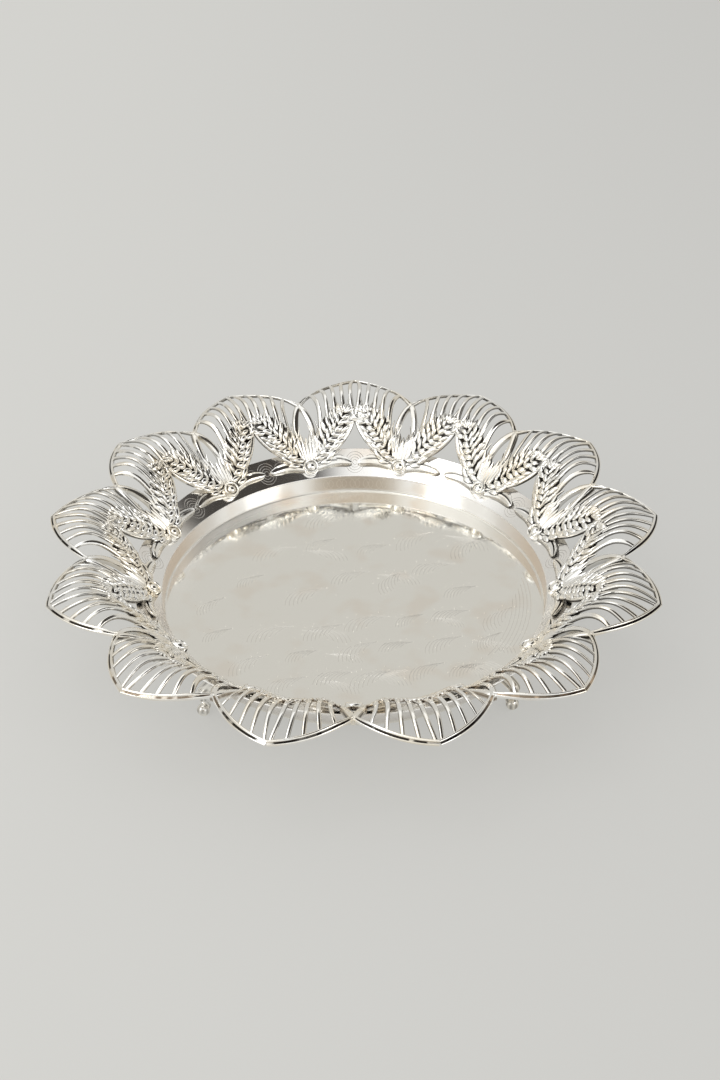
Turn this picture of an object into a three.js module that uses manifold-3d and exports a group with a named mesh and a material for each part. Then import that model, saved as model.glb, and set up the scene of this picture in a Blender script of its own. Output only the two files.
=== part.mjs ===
// Round footed tray: a stamped dish with a sloping flange, thirteen cast openwork petals riveted
// round it, and four cast feet. Millimetres, +Z up. The origin is on the upper face of the dish's
// floor, under its centre, and -Y is the front.
import * as THREE from "three";
import { mergeVertices } from "three/addons/utils/BufferGeometryUtils.js";
import Module from "manifold-3d";

const wasm = await Module();
wasm.setup();

// Gap kept between pieces that touch, and the least detail that a cut leaves
const seatGap = 0.3;
const leastDetail = 0.02;

// Dish
const sheetThickness = 0.9;
const dishRadius = 110; // where the wall turns out into the flange
const dishDepth = 10.4; // floor to the top of the wall
const wallLean = 1; // how far the wall leans in, from its top to the floor
const floorCorner = 1.5;
const flangeWidth = 15.4;
const flangeRise = 10.8;
const dishSides = 52;

// Petals: reaches are measured in plan from the top of the dish's wall
const petalCount = 13;
const notchReach = 41.3; // to the notch between the two wings of a casting
const tipReach = 65.7; // to the tip where two castings meet
const rimArcRadius = 58;
const domeStart = 5.6; // where the dome's slope starts
const domeBase = 7.1; // heights above the top of the wall
const domeCrest = 37.4;
const domeRim = 31.2;
const crestAt = 0.7; // share of the way from the dome's start to the rim
const climbPower = 1.15;
const fallPower = 1.7;
const petalThickness = 2;
const rimWidth = 2.6;
const ribWidth = 1.9;
const ribsPerWing = 4;
const ribSteps = 3;
const slotBow = 2.4; // how far the bars bend to the side, from the slot to the casting's edge
const edgeBow = -1.4;
const rimFirstBarAt = 0.025; // places on the rim, as shares of a petal's pitch from its middle
const rimLastBarAt = 0.472;

// Each wing's band of corn lies under its bars
const bandFootAt = 0.06;
const bandFootReach = 7.2;
const bandFootBend = 2.3;
const joinReach = 24.4; // where neighbouring castings meet over the flange
const joinHeight = 3.4;
const bandTopAt = 0.085;
const bandTopReach = 22;
const bandTipAt = 0.458;
const bandTipReach = 39.5;
const bandSteps = 5;
const slotReach = 15.6; // to the bottom of the slot in a casting's middle
const slotCheekOut = 0.7; // the slot's lower corners, as shares of its widest place
const slotCheekUp = 0.3;

// Ears of corn, raised on the bands
const earStartAcross = 2.3;
const earStartReach = 7.7;
const earLength = 36;
const earAngle = 37.4; // from across to outwards, in degrees
const grainsPerRow = 4;
const grainHeight = 1.3;
const grainSunk = 0.4;
const upperRow = { side: 1, offset: 3.2, lean: 32, length: 7.6, width: 4.4, corners: 4 };
const lowerRow = { side: -1, offset: 2.8, lean: 16, length: 9, width: 3.4, corners: 3 };
const upperSpan = { first: 0.26, last: 0.93 }; // shares of the ear's length
const lowerSpan = { first: 0.24, last: 0.74 };

// Boss and rivet, square to the flange
const rivetReach = 5.8;
const bossRadius = 5;
const bossThickness = 2.1;
const collarHeight = 2.2;
const rivetHeadRadius = 3;
const rivetHeadHeight = 2.4;
const rivetHeadShoulder = 0.75;
const rivetShankRadius = 1.4;
const rivetTailRadius = 2.3;
const rivetTailHeight = 1;
const rivetSides = 8;

// Leaves that lie on the flange on both sides of a boss
const leafStartAt = 0.05;
const leafEndAt = 0.468;
const leafReach = 5;
const leafTipReach = 7;
const leafBow = 3;
const leafWidth = 4.6;
const leafHeight = 1.5;
const leafTipShare = 0.14;
const leafSteps = 3;

// Feet
const footCount = 4;
const footTurn = 46.5; // degrees from +X to the first foot
const footDrop = 12.5; // floor's underside down to the table
const footReach = 8;
const toeRadius = 3.6;
const soleRadius = 2.4;
const legWidth = 8.4;
const ankleWidth = 5;
const legThickness = 4.2;
const ankleThickness = 3;
const legSeat = 5; // top of the wall down to the middle of the leg's seat
const kneeReach = 9;
const kneeDrop = 10;
const ankleReach = 5.6;
const ankleRise = 6;
const legSteps = 7;
const legSides = 8;

// Sizes that follow
const wallTop = dishDepth;
const table = -sheetThickness - footDrop;
const pitch = (2 * Math.PI) / petalCount;
const facetFlat = Math.cos(Math.PI / dishSides); // a side's middle, as a share of its radius
const flangeSlope = flangeRise / flangeWidth / facetFlat;
const flangeAngle = Math.atan(flangeSlope);
const { lerp, degToRad } = THREE.MathUtils;

function solidOf(geometry) {
  const bare = geometry.clone();
  bare.deleteAttribute("normal");
  bare.deleteAttribute("uv");
  const merged = mergeVertices(bare, 1e-4);
  return new wasm.Manifold(
    new wasm.Mesh({
      numProp: 3,
      vertProperties: merged.attributes.position.array,
      triVerts: new Uint32Array(merged.index.array),
    }),
  );
}

function geometryOf(solid) {
  const mesh = solid.asOriginal().simplify(leastDetail).getMesh();
  const geometry = new THREE.BufferGeometry();
  geometry.setAttribute("position", new THREE.BufferAttribute(mesh.vertProperties, 3));
  geometry.setIndex(new THREE.BufferAttribute(mesh.triVerts, 1));
  return geometry;
}

// A profile of (radius, height) points turned about +Z, with the middle of a side at the front
function revolve(profile, sides) {
  const geometry = new THREE.LatheGeometry(profile, sides);
  geometry.rotateX(Math.PI / 2);
  geometry.rotateZ(Math.PI / sides);
  return geometry;
}

// Moves each vertex of a geometry by a function of its place
function warp(geometry, place) {
  const position = geometry.attributes.position;
  const point = new THREE.Vector3();
  for (let i = 0; i < position.count; i += 1) {
    point.fromBufferAttribute(position, i);
    const moved = place(point);
    position.setXYZ(i, moved.x, moved.y, moved.z);
  }
  return geometry;
}

// A line of points moved sideways by a distance, with mitred corners
function offsetLine(points, distance) {
  return points.map((point, i) => {
    const arriving = point.clone().sub(points[Math.max(i - 1, 0)]).normalize();
    const leaving = points[Math.min(i + 1, points.length - 1)].clone().sub(point).normalize();
    if (i === 0) arriving.copy(leaving);
    if (i === points.length - 1) leaving.copy(arriving);
    const along = arriving.clone().add(leaving).normalize();
    const mitre = distance / along.dot(arriving);
    return new THREE.Vector2(point.x + along.y * mitre, point.y - along.x * mitre);
  });
}

function flangeHeight(radius) {
  return wallTop + (radius - dishRadius * facetFlat) * flangeSlope;
}

// Lays a geometry that stands on z = 0 onto the flange, over the first petal's rivet hole at +Y
function ontoFlange(geometry) {
  const radius = dishRadius + rivetReach;
  geometry.rotateX(flangeAngle);
  geometry.translate(0, radius, flangeHeight(radius));
  return geometry;
}

// From +Y, petal 1 turns to the front, and the rest follow anticlockwise as seen from above
function petalTurn(petal) {
  return Math.PI + (petal - 1) * pitch;
}

// A round, square to the flange, on a rivet's axis
function rivetRound(radius, bottom, top) {
  const profile = [
    new THREE.Vector2(0, bottom),
    new THREE.Vector2(radius, bottom),
    new THREE.Vector2(radius, top),
    new THREE.Vector2(0, top),
  ];
  return solidOf(ontoFlange(revolve(profile, rivetSides)));
}

// Dish
function dishFace() {
  const floorRadius = dishRadius - wallLean;
  return [
    new THREE.Vector2(0, 0),
    new THREE.Vector2(floorRadius - floorCorner, 0),
    new THREE.Vector2(floorRadius, floorCorner),
    new THREE.Vector2(dishRadius, wallTop),
    new THREE.Vector2(dishRadius + flangeWidth, wallTop + flangeRise),
  ];
}

function makeDish() {
  const face = dishFace();
  const profile = [...offsetLine(face, sheetThickness), ...face.reverse()];
  let dish = solidOf(revolve(profile, dishSides));
  const hole = geometryOf(rivetRound(rivetShankRadius + seatGap, -2 * sheetThickness, sheetThickness));
  for (let petal = 1; petal <= petalCount; petal += 1) {
    dish = dish.subtract(solidOf(hole.clone().rotateZ(petalTurn(petal))));
  }
  return geometryOf(dish);
}

// Petal castings, drawn flat with +Y outwards along their middle, then raised onto the dome.
// A place is a share of the petals' pitch from that middle, and a radius from the dish's axis.
function inPlan(at, radius) {
  return new THREE.Vector2(radius * Math.sin(at * pitch), radius * Math.cos(at * pitch));
}

const notch = inPlan(0, dishRadius + notchReach);

function rimArcCentre() {
  const tip = inPlan(0.5, dishRadius + tipReach);
  const half = tip.sub(notch).multiplyScalar(0.5);
  const inwards = new THREE.Vector2(half.y, -half.x).normalize();
  const back = Math.sqrt(rimArcRadius ** 2 - half.lengthSq());
  return notch.clone().add(half).addScaledVector(inwards, back);
}

const rimCentre = rimArcCentre();

// Radius from the dish's axis to the rim's arc, or to one drawn in by an inset
function rimRadius(at, inset = 0) {
  const reach = inPlan(Math.abs(at), 1).dot(rimCentre);
  return reach + Math.sqrt(reach ** 2 - rimCentre.lengthSq() + (rimArcRadius - inset) ** 2);
}

function domeHeight(radius, at) {
  const start = dishRadius + domeStart;
  const share = Math.max(0, (radius - start) / (rimRadius(at) - start));
  if (share < crestAt) {
    const climb = Math.sin(((Math.PI / 2) * share) / crestAt) ** climbPower;
    return wallTop + lerp(domeBase, domeCrest, climb);
  }
  const fall = ((share - crestAt) / (1 - crestAt)) ** fallPower;
  return wallTop + lerp(domeCrest, domeRim, fall);
}

// The drawing's height becomes height square to the dome's slope
function ontoDome(point) {
  const radius = Math.hypot(point.x, point.y);
  const angle = Math.atan2(point.x, point.y);
  const at = angle / pitch;
  const step = 0.05;
  const slope = (domeHeight(radius + step, at) - domeHeight(radius - step, at)) / (2 * step);
  const across = point.z / Math.hypot(1, slope);
  const out = radius - across * slope;
  const height = domeHeight(radius, at) + across;
  return new THREE.Vector3(out * Math.sin(angle), out * Math.cos(angle), height);
}

function bandFoot(at) {
  const share = Math.max(0, (at - bandFootAt) / (0.5 - bandFootAt));
  return dishRadius + lerp(bandFootReach, joinReach, share ** bandFootBend);
}

function bandTop(at) {
  const share = (at - bandTopAt) / (bandTipAt - bandTopAt);
  return dishRadius + lerp(bandTopReach, bandTipReach, Math.sin((Math.PI / 2) * share));
}

// One side of a bar between band and rim. Bar 0 frames the slot, and the last one edges the wing.
function barSide(bar, side) {
  const share = bar / (ribsPerWing + 1);
  const innerAt = lerp(bandTopAt, bandTipAt, share);
  const outerAt = lerp(rimFirstBarAt, rimLastBarAt, share);
  const inner = inPlan(innerAt, bandTop(innerAt));
  const outer = inPlan(outerAt, rimRadius(outerAt, rimWidth));
  const along = outer.clone().sub(inner).normalize();
  const across = new THREE.Vector2(along.y, -along.x);
  const bow = lerp(slotBow, edgeBow, share);
  const points = [];
  for (let i = 0; i <= ribSteps; i += 1) {
    const v = i / ribSteps;
    const shift = bow * Math.sin(Math.PI * v) + (side * ribWidth) / 2;
    points.push(inner.clone().lerp(outer, v).addScaledVector(across, shift));
  }
  return points;
}

function mirrored(points) {
  return points.map((point) => new THREE.Vector2(-point.x, point.y)).reverse();
}

// One wing's share of the outline, from the boss round to the notch
function wingOutline() {
  const seamAt = (radius) => 0.5 - seatGap / 2 / (radius * pitch);
  const join = dishRadius + joinReach;
  const points = [];
  for (let i = 0; i < bandSteps; i += 1) {
    const at = lerp(bandFootAt, seamAt(join), i / bandSteps);
    points.push(inPlan(at, bandFoot(at)));
  }
  points.push(inPlan(seamAt(join), join));
  points.push(inPlan(seamAt(join + joinHeight), join + joinHeight));
  points.push(...barSide(ribsPerWing + 1, 1));
  const tipAt = seamAt(dishRadius + tipReach);
  points.push(inPlan(tipAt, rimRadius(tipAt, rimWidth)));
  const arcSteps = ribsPerWing + 1;
  for (let i = 0; i < arcSteps; i += 1) {
    const at = tipAt * (1 - i / arcSteps);
    points.push(inPlan(at, rimRadius(at)));
  }
  return points;
}

function slotOutline() {
  const bottom = dishRadius + slotReach;
  const side = barSide(0, -1);
  side.unshift(new THREE.Vector2(side[0].x * slotCheekOut, lerp(bottom, side[0].y, slotCheekUp)));
  return [new THREE.Vector2(0, bottom), ...side, ...mirrored(side)];
}

function castingShape() {
  const wing = wingOutline();
  const shape = new THREE.Shape([...wing, notch, ...mirrored(wing)]);
  shape.holes.push(new THREE.Path(slotOutline()));
  for (let rib = 0; rib <= ribsPerWing; rib += 1) {
    const window = [...barSide(rib, 1), ...barSide(rib + 1, -1).reverse()];
    shape.holes.push(new THREE.Path(window), new THREE.Path(mirrored(window)));
  }
  return shape;
}

// A grain is a low pyramid on the flat drawing's upper face; hand is 1 on the right, -1 on the left
function makeGrain(row, share, hand) {
  const height = grainHeight + grainSunk;
  const radius = ((row.width / 2) * height) / grainHeight;
  const grain = new THREE.ConeGeometry(radius, height, row.corners, 1, false, Math.PI);
  grain.rotateX(Math.PI / 2);
  grain.scale(1, row.length / row.width, 1);
  grain.rotateZ(hand * degToRad(earAngle - 90 + row.side * row.lean));
  const along = new THREE.Vector2(1, 0).rotateAround(new THREE.Vector2(), degToRad(earAngle));
  const aside = new THREE.Vector2(-along.y, along.x).multiplyScalar(row.side * row.offset);
  const centre = new THREE.Vector2(earStartAcross, dishRadius + earStartReach);
  centre.addScaledVector(along, earLength * share).add(aside);
  grain.translate(hand * centre.x, centre.y, grainHeight - height / 2);
  return solidOf(grain);
}

function raiseEars(sheet) {
  let raised = sheet;
  for (const [row, span] of [[upperRow, upperSpan], [lowerRow, lowerSpan]]) {
    for (let i = 0; i < grainsPerRow; i += 1) {
      const share = lerp(span.first, span.last, i / (grainsPerRow - 1));
      raised = raised.add(makeGrain(row, share, 1)).add(makeGrain(row, share, -1));
    }
  }
  return raised;
}

// A bar of four sides with a ridge on top, along a line on the flange
function makeLeaf(side) {
  const leaf = new THREE.CylinderGeometry(1, 1, 1, 4, leafSteps);
  return warp(leaf, (point) => {
    const share = 0.5 + side * point.y;
    const at = side * lerp(leafStartAt, leafEndAt, share);
    const radius = dishRadius + lerp(leafReach, leafTipReach, share) + leafBow * Math.sin(Math.PI * share);
    const taper = lerp(1, leafTipShare, share ** 3);
    const out = radius + (point.x * taper * leafWidth) / 2;
    const place = inPlan(at, out);
    const lift = (seatGap + (leafHeight * (1 + point.z)) / 2) / Math.cos(flangeAngle);
    return new THREE.Vector3(place.x, place.y, flangeHeight(out / facetFlat) + lift);
  });
}

function makeCasting() {
  const flat = new THREE.ExtrudeGeometry(castingShape(), { depth: petalThickness, bevelEnabled: false });
  flat.translate(0, 0, -petalThickness);
  const openwork = warp(geometryOf(raiseEars(solidOf(flat))), ontoDome);
  const seat = seatGap + bossThickness;
  const top = seat + collarHeight;
  const clear = top + petalThickness + rivetHeadHeight;
  return geometryOf(
    solidOf(openwork)
      .add(rivetRound(bossRadius, seatGap, top))
      .add(solidOf(makeLeaf(1)))
      .add(solidOf(makeLeaf(-1)))
      .subtract(rivetRound(rivetShankRadius + seatGap, 0, clear))
      .subtract(rivetRound(rivetHeadRadius + seatGap, seat, clear)),
  );
}

// Rivet: a beaded head, a shank through boss and flange, and a tail formed under the flange
function makeRivet() {
  const headSeat = seatGap + bossThickness + seatGap;
  const tailSeat = -sheetThickness - seatGap;
  const profile = [
    new THREE.Vector2(0, tailSeat - rivetTailHeight),
    new THREE.Vector2(rivetTailRadius, tailSeat - rivetTailHeight),
    new THREE.Vector2(rivetTailRadius, tailSeat),
    new THREE.Vector2(rivetShankRadius, tailSeat),
    new THREE.Vector2(rivetShankRadius, headSeat),
    new THREE.Vector2(rivetHeadRadius, headSeat),
    new THREE.Vector2(rivetHeadRadius * rivetHeadShoulder, headSeat + rivetHeadHeight * rivetHeadShoulder),
    new THREE.Vector2(0, headSeat + rivetHeadHeight),
  ];
  return ontoFlange(revolve(profile, rivetSides));
}

// Foot: a leg that leaves the wall, bends out at the knee, in at the ankle and ends in a round toe
function makeFoot() {
  const toeCentre = table + Math.sqrt(toeRadius ** 2 - soleRadius ** 2);
  const spine = new THREE.CatmullRomCurve3([
    new THREE.Vector3(0, dishRadius - legThickness / 2, wallTop - legSeat),
    new THREE.Vector3(0, dishRadius + kneeReach, wallTop - kneeDrop),
    new THREE.Vector3(0, dishRadius + ankleReach, table + ankleRise),
    new THREE.Vector3(0, dishRadius + footReach, toeCentre),
  ]);
  const leg = warp(new THREE.CylinderGeometry(1, 1, 1, legSides, legSteps), (point) => {
    const share = 0.5 - point.y;
    const along = spine.getTangent(share);
    const place = spine.getPoint(share);
    const depth = (point.z * lerp(legThickness, ankleThickness, share)) / 2;
    place.x += (point.x * lerp(legWidth, ankleWidth, share)) / 2;
    place.y += depth * along.z;
    place.z -= depth * along.y;
    return place;
  });
  const toe = new THREE.SphereGeometry(toeRadius, legSides, legSides / 2);
  toe.rotateX(Math.PI / 2);
  toe.translate(0, dishRadius + footReach, toeCentre);
  const wall = solidOf(revolve(footLimit(), 2 * dishSides));
  const below = new THREE.BoxGeometry(4 * dishRadius, 4 * dishRadius, 4 * toeRadius);
  below.translate(0, 0, table - 2 * toeRadius);
  return geometryOf(solidOf(leg).add(solidOf(toe)).subtract(wall).subtract(solidOf(below)));
}

// All that lies inside the dish's outer face and the feet's gap to it
function footLimit() {
  const top = new THREE.Vector2(0, wallTop + flangeRise);
  return [...offsetLine(dishFace(), sheetThickness + seatGap), top];
}

const tray = new THREE.Group();

function addPiece(name, geometry, roughness, turn = 0) {
  const facets = geometry.index ? geometry.toNonIndexed() : geometry;
  facets.computeVertexNormals();
  const silver = new THREE.MeshStandardMaterial({ color: 0xe9e6e0, metalness: 1, roughness });
  const piece = new THREE.Mesh(facets, silver);
  piece.name = name;
  piece.rotation.z = turn;
  tray.add(piece);
}

addPiece("dish", makeDish(), 0.2);
const casting = makeCasting();
const rivet = makeRivet();
for (let petal = 1; petal <= petalCount; petal += 1) {
  addPiece(`petal_${petal}`, casting, 0.12, petalTurn(petal));
  addPiece(`petal_rivet_${petal}`, rivet, 0.08, petalTurn(petal));
}
const foot = makeFoot();
for (let i = 0; i < footCount; i += 1) {
  addPiece(`foot_${i + 1}`, foot, 0.15, degToRad(footTurn - 90) + (i * 2 * Math.PI) / footCount);
}

export default tray;
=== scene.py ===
import math
import random

import bmesh
import bpy
from mathutils import Matrix, Vector


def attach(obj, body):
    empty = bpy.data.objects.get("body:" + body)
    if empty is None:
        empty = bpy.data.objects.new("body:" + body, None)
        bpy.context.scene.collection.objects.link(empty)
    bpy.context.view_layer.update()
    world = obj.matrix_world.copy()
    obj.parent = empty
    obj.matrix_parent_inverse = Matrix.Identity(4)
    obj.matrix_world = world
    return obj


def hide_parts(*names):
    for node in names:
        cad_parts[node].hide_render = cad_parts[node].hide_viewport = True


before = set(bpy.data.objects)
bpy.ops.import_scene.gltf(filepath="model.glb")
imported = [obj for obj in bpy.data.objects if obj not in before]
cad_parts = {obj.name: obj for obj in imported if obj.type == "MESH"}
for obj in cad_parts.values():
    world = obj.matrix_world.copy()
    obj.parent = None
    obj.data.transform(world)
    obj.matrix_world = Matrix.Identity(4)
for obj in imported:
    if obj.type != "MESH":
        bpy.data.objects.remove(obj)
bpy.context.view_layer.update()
print("frame loaded")

# Drawings are in millimetres, with the origin in the middle of the dish's floor
mm = 0.001
petalCount = 13
pitch = 2 * math.pi / petalCount
creaseAngle = math.radians(48)  # edges sharper than this stay crisp


def lerp(a, b, share):
    return a + (b - a) * share


def petalTurn(petal):
    return Matrix.Rotation(math.pi + (petal - 1) * pitch, 4, "Z")


# Camera, fitted to the photograph. The turn, pan, tilt and roll are in degrees
cameraFit = {
    "lens": 54.72,
    "sensor": 36,
    "elevation": 37.11,
    "distance": 941.2,
    "turn": 0.372,
    "pan": 0.206,
    "tilt": 1.363,
    "roll": 0.3545,
    "aimHeight": 12.4,  # above the dish's floor
}


def makeCamera(fit):
    data = bpy.data.cameras.new("camera")
    data.lens = fit["lens"]
    data.sensor_width = fit["sensor"]
    camera = bpy.data.objects.new("camera", data)
    bpy.context.scene.collection.objects.link(camera)
    bpy.context.scene.camera = camera
    elevation = math.radians(fit["elevation"])
    away = fit["distance"] * mm
    place = Vector((0, -away * math.cos(elevation), fit["aimHeight"] * mm + away * math.sin(elevation)))
    camera.matrix_world = (
        Matrix.Rotation(math.radians(fit["turn"]), 4, "Z")
        @ Matrix.Translation(place)
        @ Matrix.Rotation(math.pi / 2 - elevation, 4, "X")
        @ Matrix.Rotation(math.radians(-fit["pan"]), 4, "Y")
        @ Matrix.Rotation(math.radians(fit["tilt"]), 4, "X")
        @ Matrix.Rotation(math.radians(-fit["roll"]), 4, "Z")
    )


# A node's socket that Python's operators work on
class Wire:
    def __init__(self, finish, socket):
        self.finish = finish
        self.socket = socket

    def maths(self, operation, *values):
        return self.finish.node("ShaderNodeMath", {"operation": operation}, values)

    def __add__(self, other):
        return self.maths("ADD", self, other)

    def __radd__(self, other):
        return self.maths("ADD", other, self)

    def __sub__(self, other):
        return self.maths("SUBTRACT", self, other)

    def __rsub__(self, other):
        return self.maths("SUBTRACT", other, self)

    def __mul__(self, other):
        return self.maths("MULTIPLY", self, other)

    def __rmul__(self, other):
        return self.maths("MULTIPLY", other, self)

    def atLeast(self, other):
        return self.maths("MAXIMUM", self, other)

    # Rises from 0 to 1 between two values
    def between(self, low, high):
        sockets = {"Value": self, "From Min": low, "From Max": high}
        return self.finish.node("ShaderNodeMapRange", {"interpolation_type": "SMOOTHSTEP"}, sockets)


# A material's or the world's node tree
class Finish:
    def __init__(self, owner):
        owner.use_nodes = True
        self.owner = owner
        self.tree = owner.node_tree
        self.tree.nodes.clear()

    def node(self, kind, settings=None, inputs=None, output=0):
        made = self.tree.nodes.new(kind)
        for key, value in (settings or {}).items():
            setattr(made, key, value)
        pairs = inputs.items() if isinstance(inputs, dict) else enumerate(inputs or [])
        for key, value in pairs:
            socket = made.inputs[key]
            if isinstance(value, Wire):
                self.tree.links.new(value.socket, socket)
            elif socket.type == "RGBA":
                socket.default_value = (*value, 1)
            else:
                socket.default_value = value
        return Wire(self, made.outputs[output]) if made.outputs else None

    # A Mix node's colour sockets are its seventh and eighth inputs and its third output
    def mix(self, share, a, b):
        return self.node("ShaderNodeMix", {"data_type": "RGBA"}, {0: share, 6: a, 7: b}, 2)

    def place(self):
        return self.node("ShaderNodeTexCoord", output="Object")

    # The first parts of a vector
    def axes(self, vector, count):
        return [self.node("ShaderNodeSeparateXYZ", inputs=[vector], output=i) for i in range(count)]

    def grain(self, vector, scale, detail):
        return self.node("ShaderNodeTexNoise", inputs={"Vector": vector, "Scale": scale, "Detail": detail})

    def bump(self, height, distance, strength):
        sockets = {"Height": height, "Distance": distance, "Strength": strength}
        return self.node("ShaderNodeBump", inputs=sockets)

    # How dark a place is painted, from 0 to 1, as painted on the vertices. On the castings and feet it is
    # painted shade in hollows, creases and gaps; on the dish it marks the engraved lines and the dark line
    # where the wall meets the floor
    def painted(self):
        return self.node("ShaderNodeAttribute", {"attribute_name": "recess"}, output="Fac")

    # 1 for rays from the camera and for mirrored rays, and 0 for the rest
    def seen(self):
        camera = self.node("ShaderNodeLightPath", output="Is Camera Ray")
        mirrored = self.node("ShaderNodeLightPath", output="Is Glossy Ray")
        return (camera + mirrored).between(0, 1)

    def surface(self, inputs):
        shader = self.node("ShaderNodeBsdfPrincipled", inputs=inputs)
        self.node("ShaderNodeOutputMaterial", inputs={"Surface": shader})
        return self.owner


# Silver of the castings, rivets and feet, whose recesses take painted shade and painted reflections. Pairs
# are the values between which a zone fades in or out, in metres where they are places. The zones belong to
# the tray and turn with it
castSilver = {
    "bright": (0.995, 0.985, 0.955),
    "warm": (0.97, 0.91, 0.8),
    "warmFade": (0.4, 0.65),
    # painted shade in hollows, creases and gaps
    "recess": (0.035, 0.03, 0.024),
    # painted reflection: the recesses' paler tan at the front
    "tan": (0.7, 0.56, 0.42),
    "roughness": 0.075,
    "roughnessSpread": 0.05,
    "recessRoughness": 0.1,
    "cloudScale": 45,
    "skinScale": 900,
    "skinShare": 0.4,
    "patchScale": 150,
    "patchFade": (0.38, 0.5),
    "leastDepth": 0.12,  # of the recesses between the patches
    # painted shade: the recesses are darkest all along the right side
    "rightShadeFade": (0, 0.09),
    "rightShadeDepth": 1.3,
    # painted reflection: the recesses turn tan at the front
    "frontReflectionStart": (-0.15, -0.138),
    "frontReflectionEnd": (-0.128, -0.1),
    "frontReflectionPatches": 0.6,  # how much of the front's tan the patches take away
    "bumpDistance": 0.0002,
    "bumpStrength": 0.6,
}


def castSilverFinish(name, look):
    finish = Finish(bpy.data.materials.new(name))
    place = finish.place()
    cloud = finish.grain(place, look["cloudScale"], 3)
    skin = finish.grain(place, look["skinScale"], 3)
    patches = finish.grain(place, look["patchScale"], 1).between(*look["patchFade"])
    x, y = finish.axes(place, 2)
    # Painted shade and painted reflection: recesses are dark all along at the right, in patches elsewhere,
    # and paler tan at the front
    patchyShade = look["leastDepth"] + (1 - look["leastDepth"]) * patches
    recess = finish.painted() * patchyShade.atLeast(look["rightShadeDepth"] * x.between(*look["rightShadeFade"]))
    frontReflection = y.between(*look["frontReflectionStart"]) * (1 - y.between(*look["frontReflectionEnd"]))
    dark = finish.mix(frontReflection * (1 - look["frontReflectionPatches"] * patches), look["recess"], look["tan"])
    colour = finish.mix(cloud.between(*look["warmFade"]), look["bright"], look["warm"])
    worn = look["roughness"] + look["roughnessSpread"] * cloud
    grit = skin * look["skinShare"] + cloud
    return finish.surface(
        {
            "Base Color": finish.mix(recess, colour, dark),
            "Metallic": 1.0,
            "Roughness": worn + look["recessRoughness"] * recess,
            "Normal": finish.bump(grit, look["bumpDistance"], look["bumpStrength"]),
        }
    )


# Silver of the pressed dish, with pairs as above
sheetSilver = {
    "floor": (0.95, 0.935, 0.885),
    "wall": (0.97, 0.955, 0.93),
    "tan": (0.86, 0.76, 0.65),
    "line": (0.46, 0.41, 0.34),
    # painted reflections on the wall: brown at the middle of its far side, tan at its ends
    "wallMiddleReflection": (0.66, 0.585, 0.49),
    "wallEndReflection": (0.74, 0.62, 0.5),
    "floorRoughness": 0.075,
    "wallRoughness": 0.15,
    "roughnessSpread": 0.03,
    "cloudScale": 14,
    "tarnishScale": 38,
    "tarnishFade": (0.5, 0.7),
    "tarnish": 0.34,
    # more tan patches near the floor's back edge
    "backTan": 0.3,  # added near the floor's back edge
    "backFade": (0.055, 0.1),
    "farFade": (0, 0.05),
    "sideStart": (0.0003, 0.002),  # heights
    "wallEnd": (0.0095, 0.0105),
    "endFade": (0.08, 0.108),
    "middleFade": (0.012, 0.035),
    "hazeFade": (0.09, 0.106),  # radii
    "quarterFade": (-0.02, 0.03),
    "floorMark": 0.26,
    "farMark": 0.16,
    "sideMark": 0.69,
    "wallDullness": 0.5,
    "hazeDullness": 0.3,
    "markDullness": 0.5,
    "bumpDistance": 0.0002,
    "bumpStrength": 0.3,
}


# A pair of distances, to be compared with a squared distance
def squares(pair):
    return [value**2 for value in pair]


def sheetSilverFinish(name, look):
    finish = Finish(bpy.data.materials.new(name))
    place = finish.place()
    cloud = finish.grain(place, look["cloudScale"], 3)
    x, y, height = finish.axes(place, 3)
    side = height.between(*look["sideStart"])
    onWall = side * (1 - height.between(*look["wallEnd"]))
    onFloor = 1 - side
    far = y.between(*look["farFade"])
    # Painted reflections: the wall is tan at its ends and brown at the middle of its far side
    ends = (x * x).between(*squares(look["endFade"]))
    middle = (1 - (x * x).between(*squares(look["middleFade"]))) * far
    wall = finish.mix(onWall * middle, look["wall"], look["wallMiddleReflection"])
    wall = finish.mix(onWall * ends, wall, look["wallEndReflection"])
    # A haze at the far left of the floor's edge, where the floor mirrors the wall
    farLeft = (1 - x.between(*look["quarterFade"])) * y.between(*look["quarterFade"])
    haze = (x * x + y * y).between(*squares(look["hazeFade"])) * onFloor * farLeft
    # Engraved lines show more on the sides than on the floor, and least on its far half
    onFarFloor = far * onFloor
    lines = look["floorMark"] - (look["floorMark"] - look["farMark"]) * onFarFloor
    mark = (lines + (look["sideMark"] - look["floorMark"]) * side) * finish.painted()
    tarnish = look["tarnish"] + look["backTan"] * y.between(*look["backFade"])
    tarnish = tarnish * finish.grain(place, look["tarnishScale"], 2).between(*look["tarnishFade"])
    skin = finish.mix(tarnish, finish.mix(side, look["floor"], wall), look["tan"])
    shine = 1 - look["wallDullness"] * onWall - look["hazeDullness"] * haze
    smooth = look["floorRoughness"] + (look["wallRoughness"] - look["floorRoughness"]) * side
    return finish.surface(
        {
            "Base Color": finish.mix(mark, skin, look["line"]),
            "Metallic": shine - look["markDullness"] * mark,
            "Roughness": smooth + look["roughnessSpread"] * cloud,
            "Normal": finish.bump(cloud, look["bumpDistance"], look["bumpStrength"]),
        }
    )


def vertsOf(made):
    return [item for item in made if isinstance(item, bmesh.types.BMVert)]


def edgesOf(made):
    return [item for item in made if isinstance(item, bmesh.types.BMEdge)]


def allOf(bm):
    return bm.verts[:] + bm.edges[:] + bm.faces[:]


# The direction at each point of a line, from the point before it to the one after it
def directions(line):
    ends = [line[0], *line, line[-1]]
    return [(after - before).normalized() for before, after in zip(ends, ends[2:])]


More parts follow.
